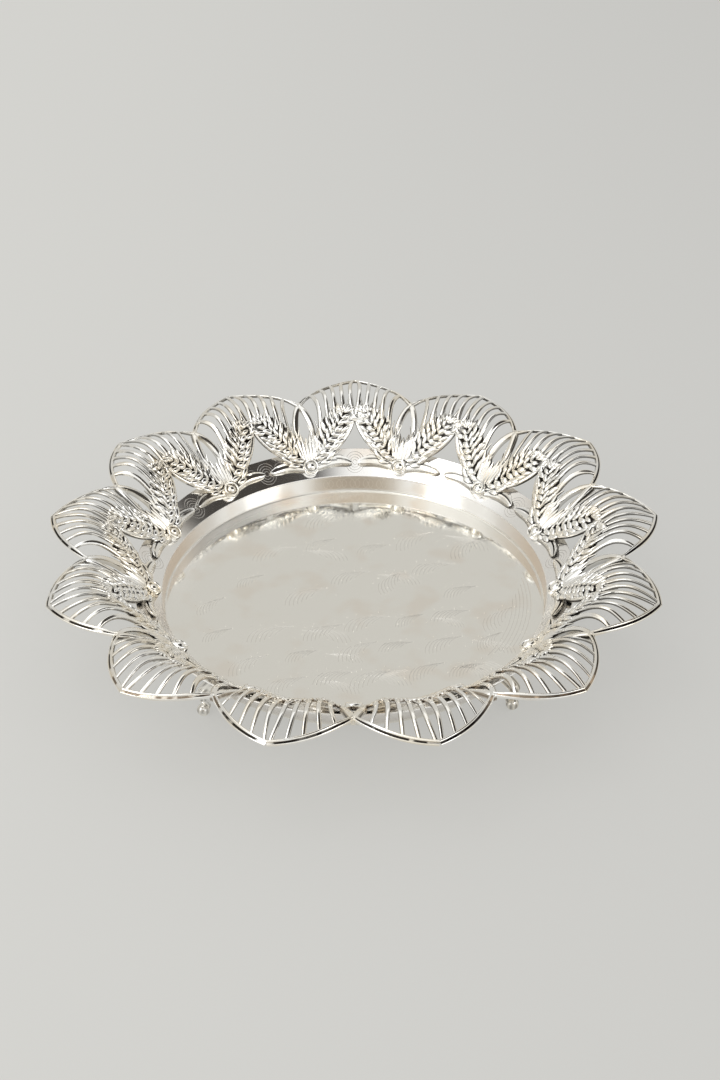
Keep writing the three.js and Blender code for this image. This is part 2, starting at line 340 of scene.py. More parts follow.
# Takes a closed ring of vertices from the origin to each station, with a tube between them
def growTube(bm, ring, edges, stations):
    bm.faces.new(ring)
    before = Matrix.Identity(4)
    for i, station in enumerate(stations):
        if i > 0:
            made = bmesh.ops.extrude_edge_only(bm, edges=edges)["geom"]
            ring, edges = vertsOf(made), edgesOf(made)
        bmesh.ops.transform(bm, matrix=station @ before.inverted(), verts=ring)
        before = station
    bmesh.ops.contextual_create(bm, geom=edges)


# Turns a drawing into a finished object that stands for CAD nodes
def finishPiece(name, bm, material, slotName, *nodes):
    bmesh.ops.recalc_face_normals(bm, faces=bm.faces)
    for face in bm.faces:
        face.smooth = True
    for edge in bm.edges:
        edge.smooth = edge.calc_face_angle(0) < creaseAngle
    bm.transform(Matrix.Scale(mm, 4))
    mesh = bpy.data.meshes.new(name)
    bm.to_mesh(mesh)
    bm.free()
    mesh.materials.append(material)
    piece = bpy.data.objects.new(name, mesh)
    bpy.context.scene.collection.objects.link(piece)
    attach(piece, "root")
    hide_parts(*nodes)


# Dish
dishSize = {
    "radius": 110,  # where the wall turns out into the flange
    "depth": 10.4,
    "wallLean": 1,
    "flangeWidth": 15.4,
    "flangeRise": 10.8,
    "sheet": 0.9,
    "steps": 312,
    "floorCorner": 0.8,
    "flangeCorner": 0.8,
    "lipCorner": 0.3,
    "seamWidth": 0.6,  # of the dark line where the wall meets the floor
    "seamHeight": 0.5,
    "seamRecess": 0.8,
}
weld = 0.001  # vertices closer than this become one


def flangeHeight(radius):
    slope = dishSize["flangeRise"] / dishSize["flangeWidth"]
    return dishSize["depth"] + (radius - dishSize["radius"]) * slope


def dishFace(size):
    return [
        Vector((0, 0)),
        Vector((size["radius"] - size["wallLean"], 0)),
        Vector((size["radius"], size["depth"])),
        Vector((size["radius"] + size["flangeWidth"], size["depth"] + size["flangeRise"])),
    ]


# A line of points moved to its right by a distance, with mitred corners
def offsetLine(points, distance):
    moved = []
    for i, point in enumerate(points):
        arriving = (point - points[max(i - 1, 0)]).normalized()
        leaving = (points[min(i + 1, len(points) - 1)] - point).normalized()
        if i == 0:
            arriving = leaving
        if i == len(points) - 1:
            leaving = arriving
        along = (arriving + leaving).normalized()
        reach = distance / along.dot(arriving)
        moved.append(point + Vector((along.y, -along.x)) * reach)
    return moved


# Rounds a line's corners by their radii. A point just outside each round keeps the flats flat
def roundCorners(points, radii, steps=4, margin=0.4):
    line = [points[0]]
    for before, corner, after, radius in zip(points, points[1:], points[2:], radii):
        arriving = (corner - before).normalized()
        leaving = (after - corner).normalized()
        reach = radius * math.tan(arriving.angle(leaving) / 2)
        a, b = corner - arriving * reach, corner + leaving * reach
        line.append(a - arriving * radius * margin)
        for i in range(steps + 1):
            share = i / steps
            line.append(a.lerp(corner, share).lerp(corner.lerp(b, share), share))
        line.append(b + leaving * radius * margin)
    return [*line, points[-1]]


# Engraved fans on the floor: across, back, turn in degrees, and 1 or -1 to mirror it
fans = [
    (-4, 20, 0, 1), (20, 14, 30, 1), (45, 29, -8, 1), (-49, -32, 0, 1), (-19, -31, 4, 1),
    (5, -23, 0, 1), (30, -21, 6, 1), (53, -16, -6, 1), (80, -20, 24, 1), (-12, -70, -4, 1),
    (8, -71, 2, 1), (24, -68, -2, -1), (38, -65, 8, 1), (60, -64, 0, 1), (70, -62, 4, -1),
    (-38, -76, 4, 1), (-62, 16, 10, 1), (-84, -8, 20, 1), (60, 6, 0, 1), (-30, 2, 6, 1),
    (-60, -60, 12, 1), (-30, -52, 0, 1), (0, -48, 10, 1), (22, -44, -6, 1), (48, -42, 6, 1),
    (74, -40, 20, 1), (-78, -34, 8, 1), (-50, 44, 0, 1), (-22, 52, 8, 1), (10, 48, -4, 1),
    (34, 56, 12, 1), (-20, 78, 4, 1), (6, 84, -6, 1), (66, 48, 14, 1),
]
# In a fan and in the floor's lines, a second value is added for each next line, and a third one grows
# with the line's length. Turns and starts and ends of arcs are in degrees
engraving = {
    "seed": 5,
    "scales": (0.8, 1.2),
    "lean": 12,
    "stretch": 1.15,
    "facedEvery": 3,
    "facedWithin": 60,
    "facedOffset": (30, -2),
    "facedLean": -6,
    "fan": {
        "strokes": 7, "across": (0, 2), "back": (-8, -0.3), "radius": 11, "shortest": 0.45,
        "start": (150, -4, 28), "end": (128, -5, -26), "steps": 8, "width": 0.62,
    },
    "flecks": [(-7, 4), (-2, 5), (5, 3.5), (9, 4.5), (13, 1), (-4, -3), (16, -5)],
    "fleckRadius": 0.4,
    "floorLines": {
        "count": 6, "radius": (91, 2.1), "start": (-36, 2), "end": (-2, 3), "steps": 20, "width": 0.6,
    },
    "wallRings": {
        "count": 11, "spacing": 4.2, "height": 5.2, "radii": (4, 3.2), "end": 345, "steps": 16, "width": 0.5,
    },
    "rosette": {
        "rings": (1.4, 2.9, 4.4, 5.9), "ringTurns": (20, 370), "ringSteps": 20, "waves": (2, 3.5, 5),
        "waveAcross": 10, "waveIn": 1, "waveTurns": (-70, 80), "waveSteps": 12, "width": 0.55,
    },
}
strokeSection = [(-0.5, -0.12, 0.5), (-0.25, 0.07, 1), (0.25, 0.07, 0.5), (0.5, -0.12, 0.3)]


def addArc(bm, centre, radius, start, end, steps, width):
    turns = [math.radians(lerp(start, end, i / steps)) for i in range(steps + 1)]
    line = [Vector(centre) + Vector((math.cos(turn), math.sin(turn))) * radius for turn in turns]
    layBar(bm, line, strokeSection, [width] * len(line))


# A fan of curved strokes, with flecks
def drawFan(bm):
    fan = engraving["fan"]
    for i in range(fan["strokes"]):
        full = lerp(fan["shortest"], 1, math.sin(math.pi * (i + 0.5) / fan["strokes"]))
        centre = [first + step * i for first, step in (fan["across"], fan["back"])]
        start, end = (first + step * i + growth * full for first, step, growth in (fan["start"], fan["end"]))
        addArc(bm, centre, fan["radius"], start, end, fan["steps"], fan["width"])
    for across, back in engraving["flecks"]:
        made = bmesh.ops.create_icosphere(bm, subdivisions=1, radius=engraving["fleckRadius"])
        bmesh.ops.translate(bm, vec=(across, back, 0), verts=made["verts"])


def drawFloorLines(bm):
    lines = engraving["floorLines"]
    for i in range(lines["count"]):
        ways = (lines["radius"], lines["start"], lines["end"])
        radius, start, end = (first + step * i for first, step in ways)
        addArc(bm, (0, 0), radius, start, end, lines["steps"], lines["width"])


# Crossing rings round the wall's far side
def drawWallRings(bm):
    rings = engraving["wallRings"]
    for i in range(rings["count"]):
        centre = (rings["spacing"] * (i - (rings["count"] - 1) / 2), rings["height"])
        addArc(bm, centre, rings["radii"][i % 2], 0, rings["end"], rings["steps"], rings["width"])
    for vert in bm.verts:
        turn = vert.co.x / dishSize["radius"]
        out = dishSize["radius"] - dishSize["wallLean"] * (1 - vert.co.y / dishSize["depth"]) - vert.co.z
        vert.co = Vector((out * math.sin(turn), out * math.cos(turn), vert.co.y))


# Rings between two castings, with waves beside them
def drawRosette(bm):
    look = engraving["rosette"]
    middle = dishSize["radius"] + dishSize["flangeWidth"] / 2
    for radius in look["rings"]:
        addArc(bm, (0, middle), radius, *look["ringTurns"], look["ringSteps"], look["width"])
    for side in (-1, 1):
        centre = (side * look["waveAcross"], middle - look["waveIn"])
        start, end = (90 + side * turn for turn in look["waveTurns"])
        for radius in look["waves"]:
            addArc(bm, centre, radius, start, end, look["waveSteps"], look["width"])
    for vert in bm.verts:
        vert.co.z += flangeHeight(math.hypot(vert.co.x, vert.co.y))


# Adds a drawing to a mesh at each place
def stamp(bm, draw, places):
    pattern = bmesh.new()
    pattern.verts.layers.float.new("recess")
    draw(pattern)
    mesh = bpy.data.meshes.new("stamp")
    pattern.to_mesh(mesh)
    pattern.free()
    for place in places:
        mesh.transform(place)
        bm.from_mesh(mesh)
        mesh.transform(place.inverted())
    bpy.data.meshes.remove(mesh)


def fanPlace(across, back, turn, wide, tall):
    turned = Matrix.Rotation(math.radians(turn), 4, "Z") @ Matrix.Diagonal((wide, tall, 1, 1))
    return Matrix.Translation((across, back, 0)) @ turned


def addEngraving(bm, look):
    chance = random.Random(look["seed"])
    places = []
    for i, (across, back, turn, side) in enumerate(fans):
        large = chance.uniform(*look["scales"])
        places.append(fanPlace(across, back, turn + look["lean"], side * large, look["stretch"] * large))
        # Some fans face another one, as the two sides of an arch
        if i % look["facedEvery"] == 0 and abs(across) < look["facedWithin"]:
            aside = across + look["facedOffset"][0] * side * large
            behind = back + look["facedOffset"][1]
            places.append(fanPlace(aside, behind, look["facedLean"] - turn, -side * large, large))
    stamp(bm, drawFan, places)
    stamp(bm, drawFloorLines, [Matrix.Identity(4)])
    stamp(bm, drawWallRings, [Matrix.Identity(4)])
    stamp(bm, drawRosette, [petalTurn(petal + 0.5) for petal in range(petalCount)])


def makeDish(size, material):
    bm = bmesh.new()
    layer = bm.verts.layers.float.new("recess")
    face = dishFace(size)
    radii = [size["floorCorner"], size["flangeCorner"], size["lipCorner"]]
    outline = [*face, *reversed(offsetLine(face, size["sheet"]))]
    profile = roundCorners(outline, [*radii, *reversed(radii)])
    line = [bm.verts.new((point.x, 0, point.y)) for point in profile]
    edges = [bm.edges.new(pair) for pair in zip(line, line[1:])]
    bmesh.ops.spin(
        bm, geom=line + edges, axis=(0, 0, 1), angle=2 * math.pi, steps=size["steps"], use_merge=True
    )
    bmesh.ops.remove_doubles(bm, verts=bm.verts, dist=weld)
    # A dark line where the wall meets the floor
    seam = size["radius"] - size["wallLean"] - size["seamWidth"]
    for vert in bm.verts:
        if 0 <= vert.co.z < size["seamHeight"] and math.hypot(vert.co.x, vert.co.y) > seam:
            vert[layer] = size["seamRecess"]
    addEngraving(bm, engraving)
    finishPiece("dish_silver", bm, material, "dish", "dish")


# Petal castings are drawn flat with +Y outwards along their middle, then raised onto the dome. A place
# is a share of the petals' pitch from that middle, and a radius from the dish's axis. Reaches are
# radii from the dish's edge, and the dome's heights start at the dish's edge
castingSize = {
    "seed": 4,
    "notchReach": 41.3,
    "tipReach": 65.7,
    "rimArcRadius": 58,
    "rimWidth": 2.6,
    "rimSteps": 34,
    "domeStart": 5.6,
    "domeBase": 7.1,
    "domeCrest": 37.4,
    "domeRim": 31.2,
    "crestAt": 0.7,  # share of the way to the rim
    "slotCrestAt": 0.96,
    "crestWidth": 0.26,
    "climbPower": 1.15,
    "fallPower": 1.7,
    "ribs": 4,
    "ribSteps": 14,
    "ribSpan": (-0.05, 1.03),
    "ribRoot": 1.35,
    "ribLift": -0.2,
    "slotBow": 2.4,
    "edgeBow": -1.4,
    "rimFirstBarAt": 0.025,
    "rimLastBarAt": 0.48,
    "bandTopAt": 0.085,
    "bandTopReach": 18.5,
    "bandTipAt": 0.476,
    "bandTipReach": 30.5,
    "bandPower": 1.5,
    "slotReach": 15.6,
    "archScale": 1.7,
    "archLift": -0.35,
    "footScale": 1.1,
    "footLift": -0.1,
    "footSpan": (0.05, 0.3),
    "seatGap": 0.3,
}


def inPlan(at, radius):
    return Vector((radius * math.sin(at * pitch), radius * math.cos(at * pitch)))


def findRimCentre(size):
    notch = inPlan(0, dishSize["radius"] + size["notchReach"])
    tip = inPlan(0.5, dishSize["radius"] + size["tipReach"])
    half = (tip - notch) / 2
    inwards = Vector((half.y, -half.x)).normalized()
    return notch + half + inwards * math.sqrt(size["rimArcRadius"] ** 2 - half.length_squared)


rimCentre = findRimCentre(castingSize)


def rimRadius(at, inset=0):
    reach = inPlan(abs(at), 1).dot(rimCentre)
    arc = castingSize["rimArcRadius"] - inset
    return reach + math.sqrt(reach**2 - rimCentre.length_squared + arc**2)


def domeHeight(radius, at):
    size = castingSize
    start = dishSize["radius"] + size["domeStart"]
    share = max(0, (radius - start) / (rimRadius(at) - start))
    # The crest fades out towards the slots, where the dome climbs all the way to the rim
    crested = math.sin(math.pi / 2 * min(1, abs(at) / size["crestWidth"])) ** 2
    crest = lerp(size["domeRim"], size["domeCrest"], crested)
    crestAt = lerp(size["slotCrestAt"], size["crestAt"], crested)
    if share < crestAt:
        climb = math.sin(math.pi / 2 * share / crestAt) ** size["climbPower"]
        return dishSize["depth"] + lerp(size["domeBase"], crest, climb)
    fall = ((share - crestAt) / (1 - crestAt)) ** size["fallPower"]
    return dishSize["depth"] + lerp(crest, size["domeRim"], fall)


# The drawing's height becomes height square to the dome's slope
def ontoDome(point):
    radius = math.hypot(point.x, point.y)
    angle = math.atan2(point.x, point.y)
    at = angle / pitch
    step = 0.05  # to both sides, to measure the slope
    slope = (domeHeight(radius + step, at) - domeHeight(radius - step, at)) / (2 * step)
    across = point.z / math.hypot(1, slope)
    out = radius - across * slope
    return Vector((out * math.sin(angle), out * math.cos(angle), domeHeight(radius, at) + across))


def bandTop(at):
    size = castingSize
    if at < size["bandTopAt"]:
        climb = (at / size["bandTopAt"]) ** size["bandPower"]
        return dishSize["radius"] + lerp(size["slotReach"], size["bandTopReach"], climb)
    share = (at - size["bandTopAt"]) / (size["bandTipAt"] - size["bandTopAt"])
    climb = math.sin(math.pi / 2 * min(share, 1))
    return dishSize["radius"] + lerp(size["bandTopReach"], size["bandTipReach"], climb)


# Middle line of a bar between band and rim. Bar 0 would frame the slot, where the arch stands, and the
# last one edges the wing
def barLine(bar, steps, start=0, end=1):
    size = castingSize
    share = bar / (size["ribs"] + 1)
    innerAt = lerp(size["bandTopAt"], size["bandTipAt"], share)
    outerAt = lerp(size["rimFirstBarAt"], size["rimLastBarAt"], share)
    inner = inPlan(innerAt, bandTop(innerAt))
    outer = inPlan(outerAt, rimRadius(outerAt, size["rimWidth"]))
    along = (outer - inner).normalized()
    across = Vector((along.y, -along.x))
    bow = lerp(size["slotBow"], size["edgeBow"], share)
    line = []
    for i in range(steps + 1):
        v = lerp(start, end, i / steps)
        line.append(inner.lerp(outer, v) + across * bow * math.sin(math.pi * v))
    return line


# Rounds a line's corners by moving each point towards the middle of its neighbours
def eased(line):
    return [line[0], *[(a + 2 * b + c) / 4 for a, b, c in zip(line, line[1:], line[2:])], line[-1]]


# Doubles the points of a line some times, and eases its corners
def smoothed(line, times):
    for _ in range(times):
        middles = [(a + b) / 2 for a, b in zip(line, line[1:])]
        line = eased([point for pair in zip(line, middles) for point in pair] + [line[-1]])
    return line


# Places in the drawing from pairs of across and reach
def drawn(pairs):
    return [Vector((across, dishSize["radius"] + reach)) for across, reach in pairs]


# Lays a closed section of (across, up, recess) points along a line in the drawing. Sizes scale it at
# each point
def layBar(bm, line, section, sizes=None, lift=0):
    layer = bm.verts.layers.float["recess"]
    ring = []
    for across, up, recess in section:
        ring.append(bm.verts.new((across, 0, up)))
        ring[-1][layer] = recess
    edges = [bm.edges.new((ring[i - 1], ring[i])) for i in range(len(ring))]
    stations = []
    for point, along, size in zip(line, directions(line), sizes or [1] * len(line)):
        turned = Matrix(((along.y * size, along.x, 0), (-along.x * size, along.y, 0), (0, 0, size)))
        stations.append(Matrix.Translation((point.x, point.y, lift)) @ turned.to_4x4())
    growTube(bm, ring, edges, stations)


# The third value of each section point is how much painted shade it takes: the rim's channel, the bars'
# sides and the blades' edges are painted dark
rimSection = [
    (-1.3, -1.9, 0), (-1.42, -0.7, 0), (-1.38, -0.3, 0), (-1.15, 0, 0), (-0.88, 0.02, 0),
    (-0.68, -0.25, 0.4), (-0.58, -0.6, 1), (0.02, -0.6, 1), (0.12, -0.25, 0.4), (0.3, 0, 0),
    (0.7, 0.08, 0), (1.1, 0, 0), (1.38, -0.35, 0), (1.42, -0.8, 0.4), (1.3, -1.9, 0.8),
]
ribSection = [
    (-0.85, -1.2, 0.5), (-1.05, -0.9, 0.6), (-1.06, -0.55, 0.6), (-0.92, -0.25, 0.5), (-0.7, -0.03, 0),
    (-0.3, 0.05, 0), (0.3, 0.05, 0), (0.7, -0.03, 0), (0.92, -0.25, 0.5), (1.06, -0.55, 0.6),
    (1.05, -0.9, 0.6), (0.85, -1.2, 0.5),
]
edgeSection = [
    (-1, -1.9, 0.3), (-1.15, -0.8, 0.2), (-1, -0.15, 0), (-0.4, 0.1, 0), (0.3, 0.1, 0), (0.7, -0.1, 0),
    (0.95, -0.5, 0.5), (1.05, -1, 1), (1, -1.9, 0.3),
]
bladeSection = [
    (-1, -0.9, 1), (-0.92, -0.1, 1), (-0.6, 0.45, 0), (0, 0.75, 0), (0.6, 0.45, 0), (0.92, -0.1, 1),
    (1, -0.9, 1),
]


def addRim(bm):
    size = castingSize
    tipAt = 0.5 - (size["seatGap"] / 2) / ((dishSize["radius"] + size["tipReach"]) * pitch)
    ats = [tipAt * i / size["rimSteps"] for i in range(size["rimSteps"] + 1)]
    layBar(bm, [inPlan(at, rimRadius(at, size["rimWidth"] / 2)) for at in ats], rimSection)


def addBars(bm):
    size = castingSize
    steps = size["ribSteps"]
    sizes = [lerp(size["ribRoot"], 1, i / steps) for i in range(steps + 1)]
    for bar in range(1, size["ribs"] + 2):
        layBar(bm, barLine(bar, steps, *size["ribSpan"]), ribSection, sizes, lift=size["ribLift"])


# The arch round the slot in a casting's middle, which runs on into the other wing's rim: across, reach
archLine = [
    (3.2, 14.6), (4.9, 18), (5.3, 21), (5.1, 24), (4.6, 27), (3.9, 30), (3, 33), (2, 36), (0.7, 39),
    (-0.8, 41.3),
]


def addArch(bm):
    line = smoothed(drawn(archLine), 3)
    layBar(bm, line, edgeSection, [castingSize["archScale"]] * len(line), lift=castingSize["archLift"])


# The smooth bar along an ear's lower edge, from the boss to the next casting and up beside it
footLine = [
    (4.5, 8.2), (7, 8.3), (10, 8.6), (13, 9.1), (17, 10.4), (21.5, 12.5), (25.5, 15), (29, 18),
    (31.2, 20.8), (32.2, 23.5), (33, 27),
]


def addLowerEdge(bm):
    size = castingSize
    line = smoothed(drawn(footLine) + barLine(size["ribs"] + 1, 4, *size["footSpan"]), 2)
    layBar(bm, line, edgeSection, [size["footScale"]] * len(line), lift=size["footLift"])


# The plate behind an ear: across, its lower edge and its upper edge as reaches
plateLines = [
    (0, 7, 14), (3, 7.4, 15), (5.5, 7.8, 17.5), (9.2, 8.3, 21), (12.5, 8.9, 24), (16.4, 10.2, 27),
    (20.3, 12, 28), (24.1, 14, 28.2), (28, 17.2, 29), (31.2, 20.5, 29.5),
]
# The plate's face is painted dark with shade between the kernels, lightening towards its tip; its back takes
# none
plateSize = {
    "lift": -0.75,
    "thickness": 0.9,
    "steps": (45, 16),
    "paleFrom": 8,  # the line from which the plate gets paler towards its tip
    "paleRate": 0.6,
}


def addPlate(bm, size):
    along, up = size["steps"]
    made = bmesh.ops.create_grid(bm, x_segments=along, y_segments=up, size=1)
    layer = bm.verts.layers.float["recess"]
    for vert in made["verts"]:
        step = (vert.co.x + 1) / 2 * (len(plateLines) - 1)
        i = min(int(step), len(plateLines) - 2)
        across, low, high = (lerp(a, b, step - i) for a, b in zip(plateLines[i], plateLines[i + 1]))
        radius = dishSize["radius"] + lerp(low, high, (vert.co.y + 1) / 2)
        vert.co = Vector((across, radius, size["lift"]))
        vert[layer] = 1 - size["paleRate"] * max(0, step - size["paleFrom"])
    faces = list({face for vert in made["verts"] for face in vert.link_faces})
    deep = vertsOf(bmesh.ops.extrude_face_region(bm, geom=faces)["geom"])
    bmesh.ops.translate(bm, vec=(0, 0, -size["thickness"]), verts=deep)
    for vert in deep:
        vert[layer] = 0


# An ear's middle line: across, reach
earLine = [(2.5, 7.8), (7, 10), (12.3, 13.6), (16.3, 16.9), (20.3, 20.3), (25, 24.1), (30, 28)]

# Kernels lie in rows beside that line: count, share of the line at the first and last, distances from
# the line at both, leans from it in degrees at both, length, width, height, and how far they shrink
kernelRows = [
    (8, (0.15, 0.88), (5.6, 4), (80, 48), 8.2, 3, 1.35, 0.75),
    (9, (0.12, 0.95), (2.1, 1.4), (52, 34), 6.4, 2.8, 1.35, 0.8),
    (9, (0.13, 0.97), (-1.9, -1.5), (-32, -28), 7.4, 2.8, 1.35, 0.8),
    (8, (0.18, 0.96), (-4.9, -5.3), (-22, -28), 7.8, 2.5, 1.2, 0.85),
    (4, (0.92, 1.02), (3.4, -2.2), (50, -20), 5.2, 2.2, 1.2, 1),
]
kernelSize = {
    "steps": (8, 6),
    "lift": -0.35,
    "pointed": 0.45,  # share of its width that a kernel loses at its tips
    # painted shade: a dark line round each kernel's lower part, in the gaps between kernels
    "waist": -0.15,  # height of the dark line round it
    "waistWidth": 0.38,
    "waistDark": 1.25,
    "shift": 0.5,  # by chance, to both sides
    "lean": 15,
    "lengths": (0.92, 1.08),
    "widths": (0.9, 1.25),
    "heights": (0.85, 1.1),
}


# A place beside the ear's line, and the line's direction there
def earPoint(share, offset):
    step = share * (len(earLine) - 1)
    i = max(0, min(int(step), len(earLine) - 2))
    a, b = Vector(earLine[i]), Vector(earLine[i + 1])
    before, after = Vector(earLine[max(i - 1, 0)]), Vector(earLine[min(i + 2, len(earLine) - 1)])
    along = (b - before).normalized().lerp((after - a).normalized(), step - i).normalized()
    place = a.lerp(b, step - i) + Vector((-along.y, along.x)) * offset
    return place + Vector((0, dishSize["radius"])), math.atan2(along.y, along.x)


def addKernel(bm, size, centre, angle, length, width, height):
    around, along = size["steps"]
    made = bmesh.ops.create_uvsphere(bm, u_segments=around, v_segments=along, radius=1)
    layer = bm.verts.layers.float["recess"]
    for vert in made["verts"]:
        along, across, up = vert.co.z, vert.co.x, vert.co.y
        full = 1 - size["pointed"] * along**2
        vert.co = Vector((along * length / 2, across * full * width / 2, up * height))
        vert[layer] = max(0, min(1, size["waistDark"] - abs(up - size["waist"]) / size["waistWidth"]))
    turned = Matrix.Translation((centre.x, centre.y, size["lift"])) @ Matrix.Rotation(angle, 4, "Z")
    bmesh.ops.transform(bm, matrix=turned, verts=made["verts"])


def addEar(bm, size, chance):
    for count, span, offset, lean, length, width, height, last in kernelRows:
        for i in range(count):
            v = i / (count - 1)
            aside = lerp(*offset, v) + chance.uniform(-size["shift"], size["shift"])
            centre, turn = earPoint(lerp(*span, v), aside)
            turn += math.radians(lerp(*lean, v) + chance.uniform(-size["lean"], size["lean"]))
            shrink = lerp(1, last, v)
            addKernel(
                bm,
                size,
                centre,
                turn,
                length * shrink * chance.uniform(*size["lengths"]),
                width * shrink * chance.uniform(*size["widths"]),
                height * chance.uniform(*size["heights"]),
            )


# Thin awns stand on an ear's upper side and point into the windows. Span, offset and angle are those
# of the first and the last one, and lengths vary by chance
awnRow = {
    "count": 8,
    "span": (0.24, 1.02),
    "offset": (7.1, 1.5),
    "angle": (106, 72),
    "angleChance": 7,
    "length": 7.5,
    "lengths": (0.75, 1.1),
    "widths": [0.75, 0.65, 0.5, 0.35, 0.15],
    "lift": -0.5,
}


def addAwns(bm, row, chance):
    steps = len(row["widths"]) - 1
    for i in range(row["count"]):
        v = i / (row["count"] - 1)
        foot, _ = earPoint(lerp(*row["span"], v), lerp(*row["offset"], v))
        astray = chance.uniform(-row["angleChance"], row["angleChance"])
        angle = math.radians(lerp(*row["angle"], v) + astray)
        reach = row["length"] * chance.uniform(*row["lengths"])
        tip = foot + Vector((math.cos(angle), math.sin(angle))) * reach
        line = [foot.lerp(tip, k / steps) for k in range(steps + 1)]
        layBar(bm, line, bladeSection, row["widths"], lift=row["lift"])


# Blades of the tuft under the slot: foot and tip as across and reach, and width
tuftBlades = [
    ((0, 7.5), (0, 18.4), 1.8),
    ((1.6, 8), (2.9, 20.6), 1.7),
    ((3, 8.4), (5.8, 22.6), 1.6),
    ((4.3, 9.2), (8.6, 22), 1.5),
]
bladeWidths = [0.5, 0.75, 0.92, 1, 1, 0.92, 0.78, 0.52, 0.12]
bladeLift = -0.25


def addTuft(bm):
    steps = len(bladeWidths) - 1
    for foot, tip, width in tuftBlades:
        a, b = drawn((foot, tip))
        line = [a.lerp(b, i / steps) for i in range(steps + 1)]
        layBar(bm, line, bladeSection, [width * share for share in bladeWidths], lift=bladeLift)


# Boss. The points of its collar are given from its outer edge or from its cup's edge, and from its top
bossSize = {
    "reach": 5.8,
    "radius": 5,
    "thickness": 2.1,
    "collar": 2.2,
    "outerPoints": [(-0.1, -0.9), (-0.45, -0.25), (-0.85, 0)],
    "innerPoints": [(0.45, -0.1), (0.1, -0.5), (0, -1)],
    "headRadius": 3,
    "headHeight": 2.4,
    "headGap": 0.35,
    "steps": 32,
}
flangeAngle = math.atan2(dishSize["flangeRise"], dishSize["flangeWidth"])


# Spins a profile of (radius, height) points, square to the flange, on a rivet's axis
def turnOnFlange(bm, profile, steps):
    others = set(bm.verts)
    line = [bm.verts.new((radius, 0, height)) for radius, height in profile]
    edges = [bm.edges.new(pair) for pair in zip(line, line[1:])]
    bmesh.ops.spin(bm, geom=line + edges, axis=(0, 0, 1), angle=2 * math.pi, steps=steps, use_merge=True)
    made = [vert for vert in bm.verts if vert not in others]
    bmesh.ops.remove_doubles(bm, verts=made, dist=weld)
    radius = dishSize["radius"] + bossSize["reach"]
    laid = Matrix.Translation((0, radius, flangeHeight(radius))) @ Matrix.Rotation(flangeAngle, 4, "X")
    bmesh.ops.transform(bm, matrix=laid, verts=[vert for vert in made if vert.is_valid])


def addBoss(bm, size):
    gap = castingSize["seatGap"]
    seat = gap + size["thickness"]
    top = seat + size["collar"]
    outer = size["radius"]
    inner = size["headRadius"] + size["headGap"]
    collar = [(outer + out, top + up) for out, up in size["outerPoints"]]
    collar += [(inner + out, top + up) for out, up in size["innerPoints"]]
    profile = [(0, gap), (outer, gap), (outer, seat), *collar, (inner, seat), (0, seat)]
    turnOnFlange(bm, profile, size["steps"])


# Leaves that lie on the flange on both sides of a boss
leafSize = {
    "startAt": 0.05,
    "endAt": 0.468,
    "reach": 5,
    "tipReach": 6,
    "bow": 2.4,
    "width": 5.4,
    "narrowest": 0.66,  # share of the width at its start and end
    "middleShift": 0.9,
    "tipBluntness": 12,
    "tipWidth": 0.004,
    "height": 1.9,
    "lift": 0.6,  # share of the height
    "curl": 0.8,
    "curlFrom": 0.3,
    "curlTo": 0.47,
    "steps": 30,
}
# The third value is painted shade, darkest in the leaf's groove and along its edges
leafSection = [
    (-1, -0.7, 0.5), (-1, -0.15, 0.4), (-0.82, 0.3, 0), (-0.5, 0.35, 0), (-0.34, 0, 1), (-0.2, 0, 1),
    (-0.06, 0.32, 0), (0.35, 0.42, 0), (0.78, 0.3, 0), (1, -0.15, 0.4), (1, -0.7, 0.5),
]


def addLeaf(bm, size):
    line = []
    sizes = []
    for i in range(size["steps"] + 1):
        share = i / size["steps"]
        at = lerp(size["startAt"], size["endAt"], share)
        middle = lerp(size["reach"], size["tipReach"], share) + size["bow"] * math.sin(math.pi * share)
        line.append(inPlan(at, dishSize["radius"] + middle))
        full = lerp(size["narrowest"], 1, math.sin(math.pi * share ** size["middleShift"]))
        tip = math.sqrt(max(size["tipWidth"], 1 - share ** size["tipBluntness"]))
        sizes.append(size["width"] / 2 * full * tip)
    others = set(bm.verts)
    layBar(bm, line, leafSection, sizes)
    for vert in set(bm.verts) - others:
        at = abs(math.atan2(vert.co.x, vert.co.y)) / pitch
        curl = size["curl"] * max(0, at - size["curlFrom"]) / (size["curlTo"] - size["curlFrom"])
        seat = flangeHeight(math.hypot(vert.co.x, vert.co.y)) + castingSize["seatGap"]
        vert.co.z = seat + curl + size["height"] * (vert.co.z / 2 + size["lift"])


def drawCasting(seed):
    chance = random.Random(seed)
    bm = bmesh.new()
    bm.verts.layers.float.new("recess")
    addRim(bm)
    addBars(bm)
    addArch(bm)
    addLowerEdge(bm)
    addPlate(bm, plateSize)
    addEar(bm, kernelSize, chance)
    addAwns(bm, awnRow, chance)
    addTuft(bm)
    for vert in bm.verts:
        vert.co = ontoDome(vert.co)
    addLeaf(bm, leafSize)
    # The other wing
    made = bmesh.ops.duplicate(bm, geom=allOf(bm))
    bmesh.ops.scale(bm, vec=(-1, 1, 1), verts=vertsOf(made["geom"]))
    addBoss(bm, bossSize)
    return bm


def makePetals(material):
    bm = drawCasting(castingSize["seed"])
    print("casting has", len(bm.faces), "faces")
    for petal in range(1, petalCount + 1):
        copy = bm.copy()
        copy.transform(petalTurn(petal))
        finishPiece(f"petal_silver_{petal}", copy, material, "petals", f"petal_{petal}")
    bm.free()


# Rivets
rivetSize = {
    "shank": 1.4,
    "tailRadius": 2.3,
    "tailHeight": 1,
    "tailFlat": 0.7,  # share of the tail's radius
    "domeSteps": 8,
    "steps": 28,
}


